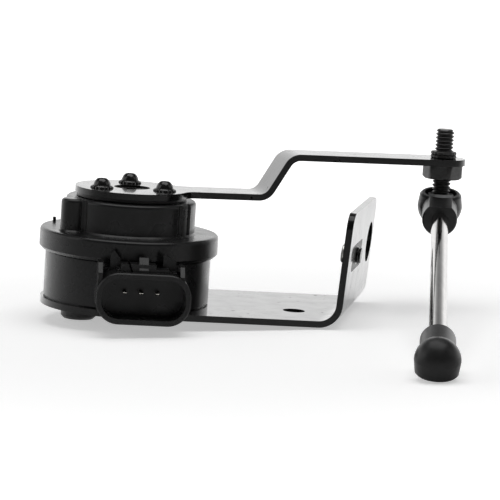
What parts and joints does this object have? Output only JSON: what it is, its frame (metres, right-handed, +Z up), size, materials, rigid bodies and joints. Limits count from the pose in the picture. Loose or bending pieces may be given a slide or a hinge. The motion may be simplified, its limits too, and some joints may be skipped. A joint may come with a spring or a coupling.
{
  "type": "ride height sensor",
  "caption": "Rotary ride height sensor: round housing with sealed connector on a bent bracket, cranked lever arm, ball stud and drop link ending in an open ball socket.",
  "frame": {"origin": "on the lever's turning axis, at the top face of the bracket's base", "axes": "+Z up along the turning axis, +X from the housing towards the bracket's upright, -Y out of the connector"},
  "size_m": [0.1465, 0.1601, 0.0698],
  "materials": {
    "black_paint": "gloss",
    "dark_fastener": "dark phosphate",
    "black_rubber": "matte",
    "zinc_steel": "satin",
    "housing_plastic": "satin",
    "tinned_contact": "bright tin",
    "board_green": "satin",
    "chip_plastic": "matte",
    "bronze": "sintered",
    "rotor_plastic": "satin",
    "magnet_grey": "plain",
    "black_screw": "gloss",
    "race_nylon": "satin",
    "socket_plastic": "matte",
    "bright_rod": "polished"
  },
  "bodies": {
    "base": {"bracket": "black_paint", "bracket_fixing_1": "dark_fastener", "bracket_fixing_2": "dark_fastener", "bracket_fixing_3": "dark_fastener", "upright_insert": "black_rubber", "captive_screw": "zinc_steel", "lower_housing": "housing_plastic", "terminal_1": "tinned_contact", "terminal_2": "tinned_contact", "terminal_3": "tinned_contact", "circuit_board": "board_green", "sensor_chip": "chip_plastic", "gasket": "black_rubber", "head_cover": "housing_plastic", "shaft_bush": "bronze"},
    "lever": {"rotor": "rotor_plastic", "shaft_seal": "black_rubber", "retaining_clip": "zinc_steel", "magnet": "magnet_grey", "lever_arm": "black_paint", "arm_screw_1": "black_screw", "arm_screw_2": "black_screw", "arm_screw_3": "black_screw", "ball_stud": "dark_fastener", "locking_collar": "dark_fastener"},
    "race": {"upper_race": "race_nylon"},
    "link": {"upper_socket": "socket_plastic", "link_rod": "bright_rod", "lower_socket": "socket_plastic", "lower_race": "race_nylon"}
  },
  "joints": [
    {"name": "lever_turn", "type": "hinge", "parent": "base", "child": "lever", "pos_m": [0, 0, 0.031], "axis": [0, 0, 1], "range_deg": [-40, 40]},
    {"name": "ball_turn", "type": "hinge", "parent": "lever", "child": "race", "pos_m": [0.10853, 0.01525, 0.0356], "axis": [0, 0, 1], "range_deg": [-13, 150]},
    {"name": "ball_tilt", "type": "hinge", "parent": "race", "child": "link", "pos_m": [0.10853, 0.01525, 0.0356], "axis": [-0.9871, 0.1599, 0], "range_deg": [-10, 30]}
  ]
}
